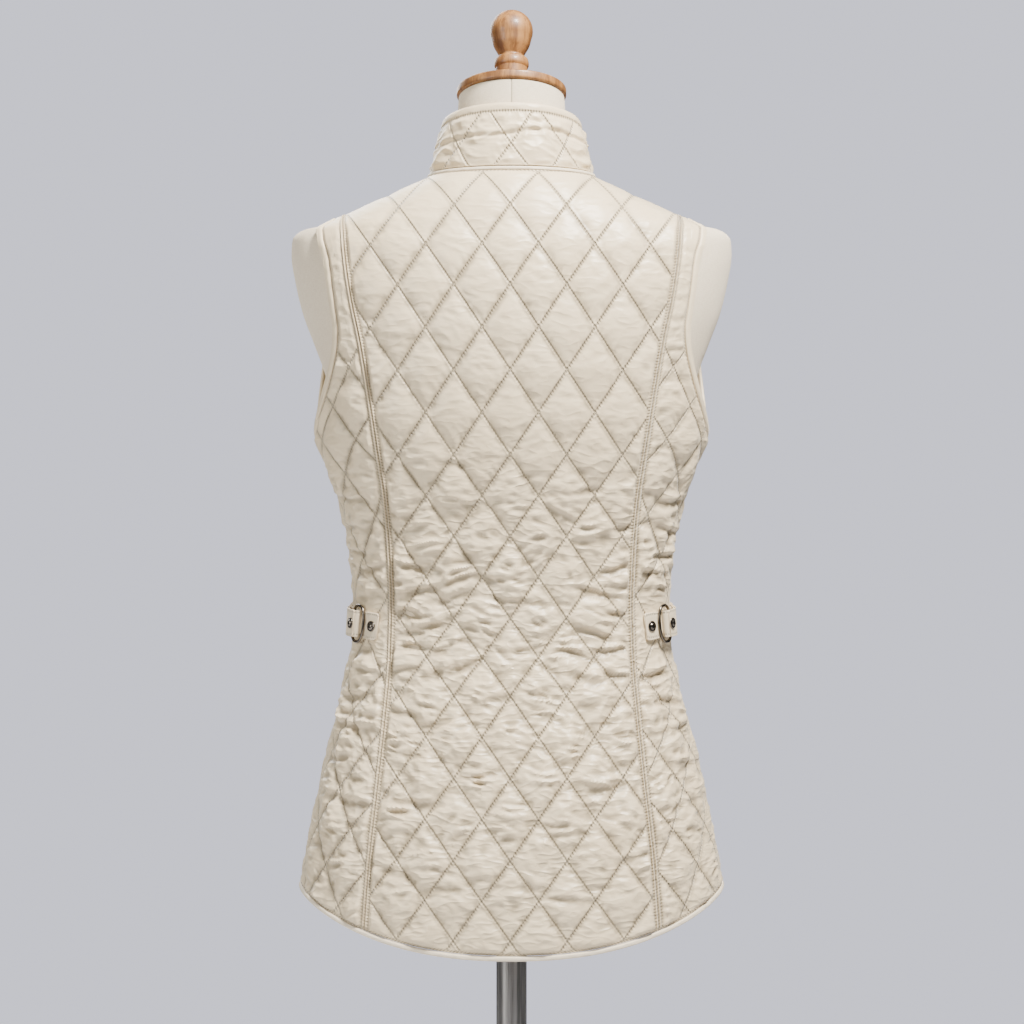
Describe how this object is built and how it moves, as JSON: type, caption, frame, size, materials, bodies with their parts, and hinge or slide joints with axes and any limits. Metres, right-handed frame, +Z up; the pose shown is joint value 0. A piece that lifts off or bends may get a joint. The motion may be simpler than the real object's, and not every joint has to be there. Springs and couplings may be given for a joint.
{
  "type": "quilted vest on dress form",
  "caption": "Sleeveless diamond-quilted vest with stand collar, zip, curved hem and waist tabs with oval rings, on a limbless dress form with a steel pole and round base",
  "frame": {"origin": "middle of the base underside, on the floor", "axes": "+Z up along the pole, +Y the way the back of the vest faces, +X to the wearer's left"},
  "size_m": [0.4102, 0.38, 1.5857],
  "materials": {
    "quilted_cloth": "satin-sheen cream cotton blend, diamond quilted",
    "piping": "plain light cream bias strip",
    "strap_cloth": "smooth cream cotton, edge stitched",
    "dark_nickel": "antique nickel, worn on the high spots",
    "zip_tape": "woven tape with moulded teeth",
    "linen": "plain linen, natural off-white",
    "turned_wood": "turned hardwood, satin varnish",
    "brushed_steel": "brushed lengthways"
  },
  "bodies": {
    "vest_and_stand": {"back_panel": "quilted_cloth", "side_back_left": "quilted_cloth", "side_back_right": "quilted_cloth", "front_left": "quilted_cloth", "front_right": "quilted_cloth", "collar": "quilted_cloth", "armhole_binding_left": "quilted_cloth", "armhole_binding_right": "quilted_cloth", "hem_binding": "piping", "neck_piping": "piping", "tab_front_left": "strap_cloth", "tab_front_right": "strap_cloth", "tab_back_left": "strap_cloth", "tab_back_right": "strap_cloth", "tab_ring_left": "dark_nickel", "tab_ring_right": "dark_nickel", "snap_front_left": "dark_nickel", "snap_front_right": "dark_nickel", "snap_back_left": "dark_nickel", "snap_back_right": "dark_nickel", "zip_slider": "dark_nickel", "zip_chain": "zip_tape", "form_body": "linen", "neck_cap": "turned_wood", "finial": "turned_wood", "pole": "brushed_steel", "base": "brushed_steel"},
    "pull": {"zip_pull": "dark_nickel"}
  },
  "joints": [
    {"name": "zip_pull_swing", "type": "hinge", "parent": "vest_and_stand", "child": "pull", "pos_m": [0, -0.05644, 1.42091], "axis": [-1, 0, 0], "range_deg": [0, 150]}
  ]
}
